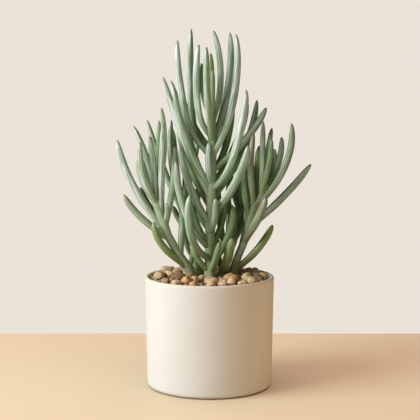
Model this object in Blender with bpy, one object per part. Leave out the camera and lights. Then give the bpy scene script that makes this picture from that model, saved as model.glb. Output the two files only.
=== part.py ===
"""Potted senecio: blue-green finger-leaved stems in a cream ceramic pot, topped with pebbles.

Units are metres, +Z is up, and the origin is the middle of the pot's flat foot.
The front of the object faces -Y. Leaf rows and pebble rows are in millimetres and degrees:
heading 0 points right (+X), 90 back (+Y), 180 left and 270 to the front.
"""
import math
import random
from typing import NamedTuple

import bmesh
import bpy
from mathutils import Vector

MM = 0.001
SHARP_ANGLE = math.radians(45)
MERGE_DISTANCE = 0.001 * MM

# Pot, turned about Z
POT_RIM_RADIUS = 60 * MM
POT_FOOT_RADIUS = 58 * MM
POT_HEIGHT = 102.5 * MM
POT_WALL = 4 * MM
POT_FLOOR = 7 * MM
POT_FOOT_ROUND = 4 * MM
POT_CORNER_ROUND = 3 * MM
POT_STEPS = 48
POT_FOOT_STEPS = 4
POT_RIM_STEPS = 6
POT_CORNER_STEPS = 2

# Filling
FIT_GAP = 0.35 * MM
SOIL_TOP = 92 * MM
BED_THICKNESS = 7 * MM
HOLE_TOP = POT_HEIGHT + 10 * MM
# How far a hole goes on below its stem's tail
HOLE_ROOM = 2 * MM

# Pebbles; widths, margin, jitter and the clearing round a stem are in millimetres, as in the rows
PEBBLE_SEED = 7
PEBBLE_MARGIN = 5
PEBBLE_JITTER = 1
PEBBLE_CROWDING = 1.2
PEBBLE_SINK = 0.12
PEBBLE_BREADTH = 0.8
PEBBLE_ROUGHNESS = 0.05
SMALL_PEBBLE_PLACES = 92
SMALL_PEBBLE_WIDTHS = (8.5, 11.5)
SMALL_PEBBLE_HEIGHT = 0.75
GOLDEN_ANGLE = math.radians(137.5)
STEM_CLEARING = 5.5

# Stems; each has a tail in the soil that tapers to its end
STEM_SIDES = 8
STEM_TAIL_END = 68 * MM
STEM_TAIL_RADIUS = 2 * MM
STEM_NECK_DEPTH = 15 * MM
STEM_NECK_SHARE = 0.9

# Leaves; thickness along a leaf is a share of its largest
LEAF_SIDES = 6
LEAF_STATIONS = (0.0, 0.1, 0.22, 0.45, 0.72, 0.88, 0.96)
LEAF_ROOT_SHARE = 0.68
LEAF_ROOT_SWELL = 0.9
LEAF_SLIMMING = 0.1
LEAF_BLUNTNESS = 10
LEAF_POINT_ROUND = 0.6
# Brings a knee's bend, largest a fifth of the way up, to the row's millimetres
LEAF_KNEE = 12.2
# A six-sided ring this much wider has the same mean width as the round leaf
LEAF_PLUMP = 1.08


class Leaf(NamedTuple):
    """One finger leaf, rooted on the stem's middle line.

    `height` is the root's height over the pot's foot, `mid` and `tip` are how far the leaf has
    swung out from the root at half its rise and at its end, and `thick` is its largest diameter.
    `knee` is how much further out it bends near its root.
    """

    height: float
    heading: float
    mid: float
    tip: float
    rise: float
    thick: float
    knee: float = 0


class Stem(NamedTuple):
    """A stem's middle line from the gravel up, its diameters at both ends, and its leaves."""

    name: str
    path: list
    foot_thick: float
    top_thick: float
    leaves: list


class Pebble(NamedTuple):
    """A pebble's place, its width and height, and the turn of its long side."""

    x: float
    y: float
    wide: float
    tall: float
    turn: float


MAIN_STEM = Stem(
    "stem_main",
    [(0.3, 0, 101), (0.8, 0, 136), (1.8, 0, 173), (2.5, 0, 210), (2.5, 1, 242), (2, 2, 258)],
    9.6,
    6,
    [
        # Crown
        Leaf(214, 185, 24.8, 31.5, 105, 7.4, 6),
        Leaf(212, 150, 19.2, 22, 118, 7, 8),
        Leaf(231, 215, 15.3, 14.5, 84, 6.8, 4.5),
        Leaf(245, 120, 16, 19, 54, 5.8),
        Leaf(226, 259, 22, 27, 86, 6.6),
        Leaf(245, 95, 8, 13, 63, 6.4),
        Leaf(243, 275, 6, 6, 50, 5.2),
        Leaf(243, 20, 8.2, 1.3, 85, 6.6),
        Leaf(226, 40, 19.2, 21.4, 101, 7.2),
        Leaf(214, 340, 20.6, 23, 110, 7.6, 1.5),
        # Right side
        Leaf(199, 40, 19.2, 24, 67, 7, 2.5),
        Leaf(182, 325, 27.4, 38, 92, 7.8, 4.4),
        Leaf(173, 25, 33, 47, 92, 7.2),
        Leaf(200, 10, 31.5, 51, 58, 7.6),
        Leaf(158, 320, 29.5, 43.5, 67, 8.2),
        # Left side
        Leaf(186, 157, 22.5, 41, 97, 6.8, 4),
        Leaf(182, 200, 23.6, 35.6, 90, 7.6),
        Leaf(184, 240, 6, 4, 43, 6),
        Leaf(173, 185, 24.9, 44, 113, 7.4),
        Leaf(150, 200, 19.8, 29.6, 72, 7.6),
        Leaf(150, 172, 12, 24, 37, 6.6),
        Leaf(144, 150, 17, 27, 42, 6.6),
        Leaf(128, 210, 27, 35.5, 82, 7.4, 3),
        Leaf(118, 230, 26.8, 27.5, 62, 7.8, 5),
        Leaf(106, 210, 13, 19, 28, 6.2),
        Leaf(130, 160, 13, 17, 41, 6.4),
        # Low front
        Leaf(141, 290, 11.5, 14, 35, 6.6),
        Leaf(126, 30, 12, 15, 48, 6.4),
        Leaf(110, 350, 16.5, 21, 59, 7.1),
        Leaf(104, 300, 11, 18, 32, 6.8),
        # Back
        Leaf(205, 90, 24, 34, 78, 7),
        Leaf(190, 91, 26, 38, 72, 7),
        Leaf(172, 89, 28, 42, 78, 7.2),
        Leaf(155, 92, 28, 44, 70, 7.2),
        Leaf(138, 90, 26, 40, 66, 7),
        Leaf(180, 140, 31, 46, 88, 7),
        Leaf(165, 135, 27, 44, 72, 7.2),
        Leaf(150, 40, 30, 46, 74, 7.4),
        Leaf(186, 45, 33, 48, 78, 7.2),
        Leaf(214, 50, 28, 34, 92, 7),
        Leaf(218, 135, 34, 43, 74, 7),
        Leaf(128, 140, 24, 28, 50, 6.8),
    ],
)

LEFT_STEM = Stem(
    "stem_left",
    [(-16.6, 4, 101), (-19, 3, 109), (-28.6, 0, 123), (-39, -4, 142), (-45.3, -6, 161), (-49.5, -5, 175)],
    9.8,
    7.6,
    [
        Leaf(145, 185, 29.5, 44, 84, 7.8),
        Leaf(150, 165, 14, 23, 35, 6),
        Leaf(137, 175, 27.3, 43, 41, 7.2),
        Leaf(110, 205, 25.6, 34.3, 44, 7.4),
        Leaf(174, 150, 8, 24, 67, 6.2),
        Leaf(169, 215, 15, 18, 58, 6.8),
        Leaf(169, 180, 13, 18, 41, 5.6),
        Leaf(173, 240, 4, 11, 59, 6),
        Leaf(158, 280, 6, 17, 86, 6.2),
        Leaf(175, 60, 14, 11, 83, 6),
        Leaf(175, 80, 14, 16, 71, 5.8),
        Leaf(148, 331, 8.1, 11, 75, 6.6),
        Leaf(150, 300, 5, 4, 21, 4.6),
        Leaf(121, 295, 4.4, 2.4, 45, 6.6),
        Leaf(108, 330, 3, 5, 27, 5),
        # Back
        Leaf(165, 110, 14, 26, 66, 6.6),
        Leaf(155, 100, 14, 24, 60, 6.8),
        Leaf(150, 130, 18, 34, 60, 6.8),
        Leaf(138, 120, 16, 28, 50, 6.8),
    ],
)

RIGHT_STEM = Stem(
    "stem_right",
    [(22, 9, 101), (23.2, 9, 110), (33, 6, 135), (41.5, 3, 166), (48.6, 2, 179), (54.5, 1, 188)],
    8.8,
    6,
    [
        Leaf(164, 345, 28.8, 35, 80, 7.4),
        Leaf(180, 15, 14.5, 18, 51, 6.6),
        Leaf(175, 310, 11, 16, 55, 5.6),
        Leaf(186, 40, 8, 9, 34, 5.2),
        Leaf(177, 280, 7, 8, 69, 5.6),
        Leaf(182, 65, 6, 19, 57, 5.6),
        Leaf(170, 80, 6, 8, 50, 6.8),
        Leaf(154, 200, 6, 4, 61, 6.4),
        Leaf(167, 235, 7, 2, 68, 6.4),
        Leaf(134, 310, 17.5, 29.5, 43, 8),
        Leaf(146, 0, 32.5, 58, 60, 7.6),
        Leaf(107, 0, 23, 36.2, 42, 7.8, 1.5),
        # Back
        Leaf(163, 75, 14, 24, 59, 6.8),
        Leaf(152, 60, 16, 30, 50, 6.8),
        Leaf(175, 25, 13, 15.5, 43, 5),
        Leaf(140, 85, 14, 24, 52, 6.8),
        Leaf(122, 60, 14, 24, 44, 6.8),
    ],
)

BACK_LEFT_STEM = Stem(
    "stem_back_left",
    [(-10, 12, 101), (-13.5, 20, 124), (-19.8, 28, 140), (-25.6, 34, 159), (-29, 36, 170)],
    8.4,
    5.6,
    [
        Leaf(160, 130, 15.5, 16.5, 86, 6.8),
        Leaf(158, 165, 20, 35.4, 88, 6.4),
        Leaf(155, 60, 8, 8, 62, 6.4),
        Leaf(141, 190, 9, 14.5, 24, 6.6),
        Leaf(106, 200, 2, 4, 30, 5.4),
        Leaf(116, 188, 8.3, 11, 36, 5.2, 3),
        # Back
        Leaf(150, 90, 16, 28, 62, 6.8),
        Leaf(165, 50, 16, 26, 66, 6.8),
        Leaf(165, 110, 14, 24, 72, 6.8),
        Leaf(135, 75, 18, 30, 50, 6.8),
        Leaf(120, 120, 14, 24, 40, 6.6),
    ],
)

BACK_RIGHT_STEM = Stem(
    "stem_back_right",
    [(11, 8, 101), (13.4, 13, 110), (22, 26, 128), (28, 34, 149), (31.5, 37, 163)],
    8,
    5.6,
    [
        Leaf(104, 290, 17, 26.6, 35.5, 8.7),
        Leaf(120, 320, 5, 7, 45, 7),
        Leaf(132, 20, 10, 13, 35, 6.4),
        Leaf(140, 180, 7, 5, 53, 6.4),
        Leaf(157, 60, 8, 6, 49, 6.4),
        Leaf(162, 180, 2.5, 3, 30, 5.8),
        Leaf(118, 185, 7, 8, 66, 6.8),
        Leaf(104, 190, 3, 4, 34, 5.6),
        # Back
        Leaf(150, 40, 15, 24, 56, 6.8),
        Leaf(140, 45, 14, 24, 50, 6.8),
        Leaf(122, 90, 16, 28, 48, 6.8),
        Leaf(155, 125, 12, 22, 52, 6.4),
    ],
)

STEMS = (MAIN_STEM, LEFT_STEM, RIGHT_STEM, BACK_LEFT_STEM, BACK_RIGHT_STEM)

# The large pebbles that lie in plain view
LARGE_PEBBLES = (
    Pebble(-20.5, -35, 12, 10, 110),
    Pebble(-13.5, -30, 11, 9, 70),
    Pebble(1.5, -18, 14, 5.5, 0),
    Pebble(3, -42, 12, 9, 25),
    Pebble(12, -47, 9.5, 7.5, 150),
    Pebble(22, -28, 12.5, 10, 60),
    Pebble(30, -40, 9.5, 6.5, 10),
    Pebble(39, -31, 10.5, 8, 40),
    Pebble(47, -18, 9, 6.5, 70),
    Pebble(44.5, 8, 11, 7.5, 110),
    Pebble(36.5, -2, 10.5, 7.5, 165),
    Pebble(38, 32, 9, 6.5, 30),
    Pebble(-41, 26, 12, 9.5, 140),
    Pebble(-46.5, -10, 12.5, 9, 80),
    Pebble(-31.5, 20, 10, 8, 40),
    Pebble(-28, -13, 13, 9.5, 0),
    Pebble(-39.5, -30, 9.5, 7, 130),
    Pebble(-30, -40, 9.5, 7, 160),
)


def clear_scene():
    """Remove every object that the open file holds."""
    for item in list(bpy.data.objects):
        bpy.data.objects.remove(item)


def make_material(name, colour, roughness):
    """A Principled material with one plain colour."""
    material = bpy.data.materials.new(name)
    material.use_nodes = True
    shader = material.node_tree.nodes["Principled BSDF"]
    shader.inputs["Base Color"].default_value = (*colour, 1)
    shader.inputs["Roughness"].default_value = roughness
    shader.inputs["Metallic"].default_value = 0
    return material


def add_object(name, mesh_data, material, collection=None):
    """Turn a bmesh into an object and free the bmesh."""
    bmesh.ops.recalc_face_normals(mesh_data, faces=mesh_data.faces)
    mesh = bpy.data.meshes.new(name)
    mesh_data.to_mesh(mesh)
    mesh_data.free()
    mesh.materials.append(material)
    item = bpy.data.objects.new(name, mesh)
    (collection or bpy.context.scene.collection).objects.link(item)
    return item


def apply_modifiers(item):
    """Replace an object's mesh by its evaluated one."""
    graph = bpy.context.evaluated_depsgraph_get()
    mesh = bpy.data.meshes.new_from_object(item.evaluated_get(graph))
    item.modifiers.clear()
    item.data = mesh


def combine(item, operation, collection):
    """Join a collection's objects to an object, or cut them out of it, and remove them."""
    boolean = item.modifiers.new(operation.title(), "BOOLEAN")
    boolean.operation = operation
    boolean.operand_type = "COLLECTION"
    boolean.collection = collection
    apply_modifiers(item)
    for part in list(collection.objects):
        bpy.data.objects.remove(part)
    bpy.data.collections.remove(collection)


def smooth(item):
    """Shade an object smooth but for its real edges."""
    item.data.shade_smooth()
    item.data.set_sharp_from_angle(angle=SHARP_ANGLE)


def new_collection(name):
    """A collection for the pieces of one Boolean."""
    collection = bpy.data.collections.new(name)
    bpy.context.scene.collection.children.link(collection)
    return collection


def arc(centre_r, centre_z, radius, start, end, steps):
    """Points of an arc in the (radius, height) plane, angles in degrees."""
    points = []
    for step in range(steps + 1):
        angle = math.radians(start + (end - start) * step / steps)
        points.append((centre_r + radius * math.cos(angle), centre_z + radius * math.sin(angle)))
    return points


def turned(outline, steps):
    """Spin an outline of (radius, height) points, which starts and ends on the axis, about Z."""
    shape = bmesh.new()
    points = [shape.verts.new((radius, 0, height)) for radius, height in outline]
    edges = [shape.edges.new(pair) for pair in zip(points, points[1:])]
    bmesh.ops.spin(
        shape, geom=points + edges, cent=(0, 0, 0), axis=(0, 0, 1), angle=math.tau, steps=steps
    )
    bmesh.ops.remove_doubles(shape, verts=shape.verts, dist=MERGE_DISTANCE)
    return shape


def pot_inner_radius(height):
    """Radius of the pot's inner wall at a height, which leans out like the outer wall."""
    lean = (POT_RIM_RADIUS - POT_FOOT_RADIUS) / POT_HEIGHT
    return POT_FOOT_RADIUS + lean * height - POT_WALL


def make_pot(material):
    """The cylindrical pot with a rounded foot, a soft rim and a flat floor inside."""
    rim_radius = POT_WALL / 2
    rim_centre = POT_RIM_RADIUS - rim_radius
    outline = [(0, 0)]
    foot = POT_FOOT_RADIUS - POT_FOOT_ROUND
    outline += arc(foot, POT_FOOT_ROUND, POT_FOOT_ROUND, -90, 0, POT_FOOT_STEPS)
    outline += arc(rim_centre, POT_HEIGHT - rim_radius, rim_radius, 0, 180, POT_RIM_STEPS)
    corner = pot_inner_radius(POT_FLOOR) - POT_CORNER_ROUND
    corner_height = POT_FLOOR + POT_CORNER_ROUND
    outline += arc(corner, corner_height, POT_CORNER_ROUND, 0, -90, POT_CORNER_STEPS)
    outline.append((0, POT_FLOOR))
    smooth(add_object("pot", turned(outline, POT_STEPS), material))


def fill_disc(bottom, top, corner):
    """A disc that fills the pot between two heights, with its lower corner cut back."""
    outline = [
        (0, bottom),
        (pot_inner_radius(bottom) - FIT_GAP - corner, bottom),
        (pot_inner_radius(bottom + corner) - FIT_GAP, bottom + corner),
        (pot_inner_radius(top) - FIT_GAP, top),
        (0, top),
    ]
    return turned(outline, POT_STEPS)


def stem_holes(name, material):
    """Plain round cutters where the stems go down, a little wider than the stems."""
    collection = new_collection(name)
    for stem in STEMS:
        radius = stem.foot_thick * MM / 2 + FIT_GAP
        bottom = STEM_TAIL_END - HOLE_ROOM
        shape = bmesh.new()
        bmesh.ops.create_cone(
            shape,
            cap_ends=True,
            segments=2 * STEM_SIDES,
            radius1=radius,
            radius2=radius,
            depth=HOLE_TOP - bottom,
        )
        cutter = add_object(name + "_" + stem.name, shape, material, collection)
        foot = Vector(stem.path[0]) * MM
        cutter.location = (foot.x, foot.y, (HOLE_TOP + bottom) / 2)
        cutter.hide_render = True
        cutter.display_type = "WIRE"
    return collection


def make_soil(material):
    """The potting soil, with a plain hole for each stem."""
    bottom = POT_FLOOR + FIT_GAP
    soil = add_object("soil", fill_disc(bottom, SOIL_TOP, POT_CORNER_ROUND), material)
    combine(soil, "DIFFERENCE", stem_holes("soil_holes", material))


def add_pebble(pebble, rough, material, collection):
    """One faceted stone, flattened and turned, sunk a little into the bed."""
    shape = bmesh.new()
    detail = 2 if pebble in LARGE_PEBBLES else 1
    bmesh.ops.create_icosphere(shape, subdivisions=detail, radius=0.5)
    long = pebble.wide * MM
    tall = pebble.tall * MM
    turn = math.radians(pebble.turn)
    base = SOIL_TOP + FIT_GAP + BED_THICKNESS
    for vert in shape.verts:
        bump = 1 + rough.uniform(-PEBBLE_ROUGHNESS, PEBBLE_ROUGHNESS)
        x = vert.co.x * long * bump
        y = vert.co.y * long * PEBBLE_BREADTH * bump
        vert.co.x = pebble.x * MM + x * math.cos(turn) - y * math.sin(turn)
        vert.co.y = pebble.y * MM + x * math.sin(turn) + y * math.cos(turn)
        vert.co.z = base + tall * (vert.co.z * bump + 0.5 - PEBBLE_SINK)
    add_object("pebble", shape, material, collection)


def scatter_pebbles():
    """Fill the bed between the large pebbles with smaller ones, spread along a spiral."""
    chance = random.Random(PEBBLE_SEED)
    edge = pot_inner_radius(POT_HEIGHT) / MM - PEBBLE_MARGIN
    stems = [stem.path[0] for stem in STEMS]
    small = []
    for place in range(SMALL_PEBBLE_PLACES):
        wide = chance.uniform(*SMALL_PEBBLE_WIDTHS)
        distance = edge * math.sqrt((place + 0.5) / SMALL_PEBBLE_PLACES)
        angle = place * GOLDEN_ANGLE
        x = distance * math.cos(angle) + chance.uniform(-PEBBLE_JITTER, PEBBLE_JITTER)
        y = distance * math.sin(angle) + chance.uniform(-PEBBLE_JITTER, PEBBLE_JITTER)
        turn = chance.uniform(0, 180)
        on_large = any(
            math.hypot(x - stone.x, y - stone.y) * PEBBLE_CROWDING < (wide + stone.wide) / 2
            for stone in LARGE_PEBBLES
        )
        at_stem = any(math.hypot(x - a, y - b) < STEM_CLEARING + wide / 2 for a, b, _ in stems)
        if not on_large and not at_stem:
            small.append(Pebble(x, y, wide, wide * SMALL_PEBBLE_HEIGHT, turn))
    return small


def make_gravel(material):
    """The pebble bed: a thin disc with the stones fused to it and a hole for each stem."""
    bottom = SOIL_TOP + FIT_GAP
    gravel = add_object("gravel", fill_disc(bottom, bottom + BED_THICKNESS, 0), material)
    stones = new_collection("stones")
    rough = random.Random(PEBBLE_SEED)
    for pebble in [*LARGE_PEBBLES, *scatter_pebbles()]:
        add_pebble(pebble, rough, material, stones)
    combine(gravel, "UNION", stones)
    combine(gravel, "DIFFERENCE", stem_holes("gravel_holes", material))


def tube(centres, radii, sides, level, pointed=False):
    """A closed tube of rings round a line of centres, each ring turned the same way by `level`.

    With `pointed`, the line has one centre more than there are radii, and it is the tip.
    """
    shape = bmesh.new()
    rings = []
    for index, radius in enumerate(radii):
        before = centres[max(index - 1, 0)]
        after = centres[min(index + 1, len(centres) - 1)]
        along = (after - before).normalized()
        out = along.cross(level).normalized()
        side = out.cross(along)
        ring = []
        for step in range(sides):
            angle = math.tau * (step + 0.5) / sides
            offset = side * math.cos(angle) + out * math.sin(angle)
            ring.append(shape.verts.new(centres[index] + radius * offset))
        rings.append(ring)
    for low, high in zip(rings, rings[1:]):
        for step in range(sides):
            following = (step + 1) % sides
            shape.faces.new((low[step], low[following], high[following], high[step]))
    shape.faces.new(list(reversed(rings[0])))
    if not pointed:
        shape.faces.new(rings[-1])
        return shape
    tip = shape.verts.new(centres[-1])
    for step in range(sides):
        shape.faces.new((rings[-1][step], rings[-1][(step + 1) % sides], tip))
    return shape


def stem_point(stem, height):
    """The stem's middle line at a height in millimetres."""
    path = stem.path
    for low, high in zip(path, path[1:]):
        if height <= high[2]:
            break
    share = (height - low[2]) / (high[2] - low[2])
    return Vector(low).lerp(Vector(high), share) * MM


def leaf_taper(share):
    """How thick a leaf is along its length, as a share: slim root, full middle, blunt point."""
    root = min(1.0, LEAF_ROOT_SHARE + LEAF_ROOT_SWELL * share)
    point = (1 - share**LEAF_BLUNTNESS) ** LEAF_POINT_ROUND
    return root * point * (1 - LEAF_SLIMMING * share**2)


def leaf_shape(stem, leaf):
    """A finger leaf that swings out from the stem and curves up to a blunt point."""
    root = stem_point(stem, leaf.height)
    heading = math.radians(leaf.heading)
    outward = Vector((math.cos(heading), math.sin(heading), 0))
    level = Vector((-outward.y, outward.x, 0))
    centres = []
    for share in (*LEAF_STATIONS, 1.0):
        swing = (4 * leaf.mid - leaf.tip) * share + (2 * leaf.tip - 4 * leaf.mid) * share**2
        swing += LEAF_KNEE * leaf.knee * share * (1 - share) ** 4
        centres.append(root + (outward * swing + Vector((0, 0, leaf.rise * share))) * MM)
    half = leaf.thick / 2 * MM * LEAF_PLUMP
    radii = [half * leaf_taper(share) for share in LEAF_STATIONS]
    return tube(centres, radii, LEAF_SIDES, level, pointed=True)


def stem_shape(stem):
    """The bare stem with its tail in the soil."""
    foot = Vector(stem.path[0]) * MM
    centres = [Vector((foot.x, foot.y, STEM_TAIL_END)), foot - Vector((0, 0, STEM_NECK_DEPTH))]
    radii = [STEM_TAIL_RADIUS, stem.foot_thick / 2 * MM * STEM_NECK_SHARE]
    spans = len(stem.path) - 1
    for index, point in enumerate(stem.path):
        thick = stem.foot_thick + (stem.top_thick - stem.foot_thick) * index / spans
        centres.append(Vector(point) * MM)
        radii.append(thick / 2 * MM)
    return tube(centres, radii, STEM_SIDES, Vector((0, 1, 0)))


def make_stem(stem, material):
    """A leafy stem: the stem and all its leaves as one body."""
    body = add_object(stem.name, stem_shape(stem), material)
    leaves = new_collection(stem.name + "_leaves")
    for leaf in stem.leaves:
        add_object("leaf", leaf_shape(stem, leaf), material, leaves)
    combine(body, "UNION", leaves)
    smooth(body)


def main():
    """Build the pot, its filling and the five leafy stems."""
    clear_scene()
    make_pot(make_material("cream_ceramic", (0.82, 0.75, 0.64), 0.6))
    make_soil(make_material("potting_soil", (0.09, 0.06, 0.04), 0.95))
    make_gravel(make_material("river_pebbles", (0.42, 0.29, 0.2), 0.7))
    leaf_green = make_material("blue_green_leaf", (0.22, 0.31, 0.22), 0.55)
    for stem in STEMS:
        make_stem(stem, leaf_green)


main()
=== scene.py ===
"""Potted senecio: its looks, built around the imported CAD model.

The frame is in metres with +Z up, the origin in the middle of the pot's foot and the front at -Y.
Stem paths, leaf rows and pebble rows are in millimetres, and headings in degrees: 0 points right
(+X), 90 back (+Y), 180 left and 270 to the front.
"""
from __future__ import annotations

import logging
import math
import random
from dataclasses import dataclass
from enum import Enum
from typing import Any, Mapping, NamedTuple, Sequence, Union

import bmesh
import bpy
from bpy.types import Material, Node, NodeSocket, Object
from mathutils import Matrix, Vector, noise

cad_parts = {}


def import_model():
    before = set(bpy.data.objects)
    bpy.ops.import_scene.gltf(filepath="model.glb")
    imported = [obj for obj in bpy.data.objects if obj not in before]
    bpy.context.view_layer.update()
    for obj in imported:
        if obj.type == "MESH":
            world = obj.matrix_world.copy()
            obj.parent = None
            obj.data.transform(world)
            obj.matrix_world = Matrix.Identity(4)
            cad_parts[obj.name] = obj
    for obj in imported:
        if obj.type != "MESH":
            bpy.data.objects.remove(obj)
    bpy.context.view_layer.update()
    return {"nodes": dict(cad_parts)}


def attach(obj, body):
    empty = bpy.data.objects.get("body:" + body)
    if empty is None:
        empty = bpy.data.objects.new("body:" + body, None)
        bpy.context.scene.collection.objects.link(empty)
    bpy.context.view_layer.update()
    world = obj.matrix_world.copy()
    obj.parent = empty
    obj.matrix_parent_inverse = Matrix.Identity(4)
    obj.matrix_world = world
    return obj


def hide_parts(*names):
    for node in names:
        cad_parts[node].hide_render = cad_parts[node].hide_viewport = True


LOG = logging.getLogger("potted_senecio")
MM = 0.001
ROOT_BODY = "root"
FRAME_PIXELS = 420
# Degrees from one to the next along a spiral that leaves no rows
GOLDEN_ANGLE = 137.5
# Brings a knee's bend, largest a fifth of the way up, to the row's millimetres
LEAF_KNEE = 12.2
# The numbers of a leafy stem's two materials
SKIN, BARK = 0, 1

Pair = tuple[float, float]
Triple = tuple[float, float, float]
Colour = Triple
Value = Union["Signal", float]


# Shader building


@dataclass(frozen=True)
class Signal:
    """A node's output socket that takes part in arithmetic; each operator adds a Math node."""

    recipe: Recipe
    socket: NodeSocket

    def _math(self, operation: str, *values: Value) -> Signal:
        """Add a Math node that works on the values."""
        return self.recipe.add("ShaderNodeMath", {"operation": operation}, dict(enumerate(values)))

    def __add__(self, other: Value) -> Signal:
        """self + other, and other + self."""
        return self._math("ADD", self, other)

    __radd__ = __add__

    def __sub__(self, other: Value) -> Signal:
        """self - other."""
        return self._math("SUBTRACT", self, other)

    def __rsub__(self, other: Value) -> Signal:
        """other - self."""
        return self._math("SUBTRACT", other, self)

    def __mul__(self, other: Value) -> Signal:
        """self * other, and other * self."""
        return self._math("MULTIPLY", self, other)

    __rmul__ = __mul__

    def between(self, low: float, high: float) -> Signal:
        """Rise smoothly from 0 where the signal is `low` to 1 where it is `high`."""
        sockets = {"Value": self, "From Min": low, "From Max": high}
        return self.recipe.add("ShaderNodeMapRange", {"interpolation_type": "SMOOTHSTEP"}, sockets)


class Recipe:
    """A material or a world, put together node by node."""

    def __init__(self, name: str, kind: str = "materials") -> None:
        """Start with the nodes that Blender gives to a new one.

        Args:
            name: Its name.
            kind: Where Blender keeps it, materials or worlds.
        """
        self.owner = getattr(bpy.data, kind).new(name)
        self.owner.use_nodes = True
        self.tree = self.owner.node_tree

    def add(
        self,
        kind: str,
        settings: Mapping[str, Any] | None = None,
        sockets: Mapping[str | int, Any] | None = None,
        output: str | int = 0,
    ) -> Signal:
        """Add any node.

        Args:
            kind: The node's type.
            settings: Its properties, set before its sockets. "stops" gives a ramp's stops as
                (position, colour) pairs.
            sockets: Values or signals for its input sockets, by name or number.
            output: The output socket to return.

        Returns:
            The chosen output as a signal.
        """
        node = self.tree.nodes.new(kind)
        for key, value in (settings or {}).items():
            if key == "stops":
                ramp = node.color_ramp.elements
                while len(ramp) < len(value):
                    ramp.new(1.0)
                for element, (position, colour) in zip(ramp, value):
                    element.position, element.color = position, (*colour, 1)
            else:
                setattr(node, key, value)
        self.feed(node, sockets or {})
        return Signal(self, node.outputs[output])

    def feed(self, node: Node, sockets: Mapping[str | int, Any]) -> None:
        """Link a node's input sockets to signals, or set their values.

        Args:
            node: The node.
            sockets: The signals, numbers, vectors and colours, by the sockets' names or numbers.
        """
        for key, value in sockets.items():
            socket = node.inputs[key]
            if isinstance(value, Signal):
                self.tree.links.new(value.socket, socket)
            else:
                socket.default_value = (*value, 1) if socket.type == "RGBA" else value

    def mark(self, name: str, output: str = "Fac") -> Signal:
        """Read a value, vector or colour that the mesh carries at its points."""
        return self.add("ShaderNodeAttribute", {"attribute_name": name}, output=output)

    def noise(self, where: Signal, scale: float, detail: float, stretch: Triple = (1, 1, 1)) -> Signal:
        """Noise from 0 to 1.

        Args:
            where: The coordinates to read it at.
            scale: Features a metre.
            detail: Octaves of finer noise.
            stretch: A factor on each coordinate first.

        Returns:
            The noise.
        """
        place = self.add("ShaderNodeVectorMath", {"operation": "MULTIPLY"}, {0: where, 1: stretch})
        sockets = {"Vector": place, "Scale": scale, "Detail": detail}
        return self.add("ShaderNodeTexNoise", {}, sockets, "Fac")

    def blend(self, share: Value, first: Any, second: Any, kind: str = "MIX") -> Signal:
        """Mix two colours, or multiply the first by the second, as far as share says."""
        settings = {"data_type": "RGBA", "blend_type": kind}
        return self.add("ShaderNodeMix", settings, {0: share, 6: first, 7: second}, 2)

    def finish(
        self, colour: Signal, roughness: Value, gloss: float, relief: Signal, depth: float
    ) -> Material:
        """Feed a material's shader.

        Args:
            colour: The base colour.
            roughness: The roughness.
            gloss: The specular level.
            relief: What the bump follows, from 0 to 1.
            depth: How deep the bump is, in millimetres.

        Returns:
            The finished material.
        """
        bump = {"Height": relief, "Distance": depth * MM, "Strength": 1.0}
        sockets = {
            "Base Color": colour,
            "Roughness": roughness,
            "Specular IOR Level": gloss,
            "Normal": self.add("ShaderNodeBump", {}, bump),
        }
        self.feed(self.tree.nodes["Principled BSDF"], sockets)
        return self.owner


# Mesh building


class Sculpt:
    """A mesh, put together point by point, with named marks at its points."""

    def __init__(self, name: str) -> None:
        """Start an empty mesh.

        Args:
            name: The piece's name.
        """
        self.name = name
        self.points: list[Vector] = []
        self.faces: list[Sequence[int]] = []
        self.finishes: list[int] = []
        self.marks: dict[str, list[Any]] = {}

    def point(self, place: Vector, **marks: Any) -> int:
        """Add a point.

        Args:
            place: Where it is, in metres.
            marks: Numbers or tuples of three for the materials, by the same names at each point.

        Returns:
            The point's number.
        """
        self.points.append(place)
        for name, value in marks.items():
            self.marks.setdefault(name, []).append(value)
        return len(self.points) - 1

    def face(self, corners: Sequence[int], finish: int = 0) -> None:
        """Add a face between points, with the number of its material."""
        self.faces.append(corners)
        self.finishes.append(finish)

    def stack(self, rings: Sequence[list[int]], finish: int = 0) -> None:
        """Join each ring to the next one by a band of faces.

        Args:
            rings: The rings, of as many points each.
            finish: The number of the faces' material.
        """
        for low, high in zip(rings, rings[1:]):
            for corners in zip(low, low[1:] + low[:1], high[1:] + high[:1], high):
                self.face(corners, finish)

    def fan(self, ring: list[int], tip: int, finish: int = 0) -> None:
        """Close a ring by triangles to a point beyond it."""
        for pair in zip(ring, ring[1:] + ring[:1]):
            self.face((*pair, tip), finish)

    def build(self, materials: Sequence[Material]) -> Object:
        """Make the object, smooth and with its normals outward.

        Args:
            materials: The finishes, in the order of the faces' numbers.

        Returns:
            The object, linked to the scene.
        """
        mesh = bpy.data.meshes.new(self.name)
        mesh.from_pydata(self.points, [], self.faces)
        for name, values in self.marks.items():
            is_vector = isinstance(values[0], tuple)
            attribute = mesh.attributes.new(name, "FLOAT_VECTOR" if is_vector else "FLOAT", "POINT")
            flat = [part for value in values for part in value] if is_vector else values
            attribute.data.foreach_set("vector" if is_vector else "value", flat)
        for material in materials:
            mesh.materials.append(material)
        mesh.polygons.foreach_set("material_index", self.finishes)
        work = bmesh.new()
        work.from_mesh(mesh)
        bmesh.ops.recalc_face_normals(work, faces=work.faces)
        work.to_mesh(mesh)
        work.free()
        mesh.shade_smooth()
        item = bpy.data.objects.new(self.name, mesh)
        bpy.context.scene.collection.objects.link(item)
        return item


def direction(heading: float) -> Vector:
    """The level direction at a heading in degrees."""
    angle = math.radians(heading)
    return Vector((math.cos(angle), math.sin(angle), 0))


def up(height: float) -> Vector:
    """A step straight up."""
    return Vector((0, 0, height))


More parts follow.
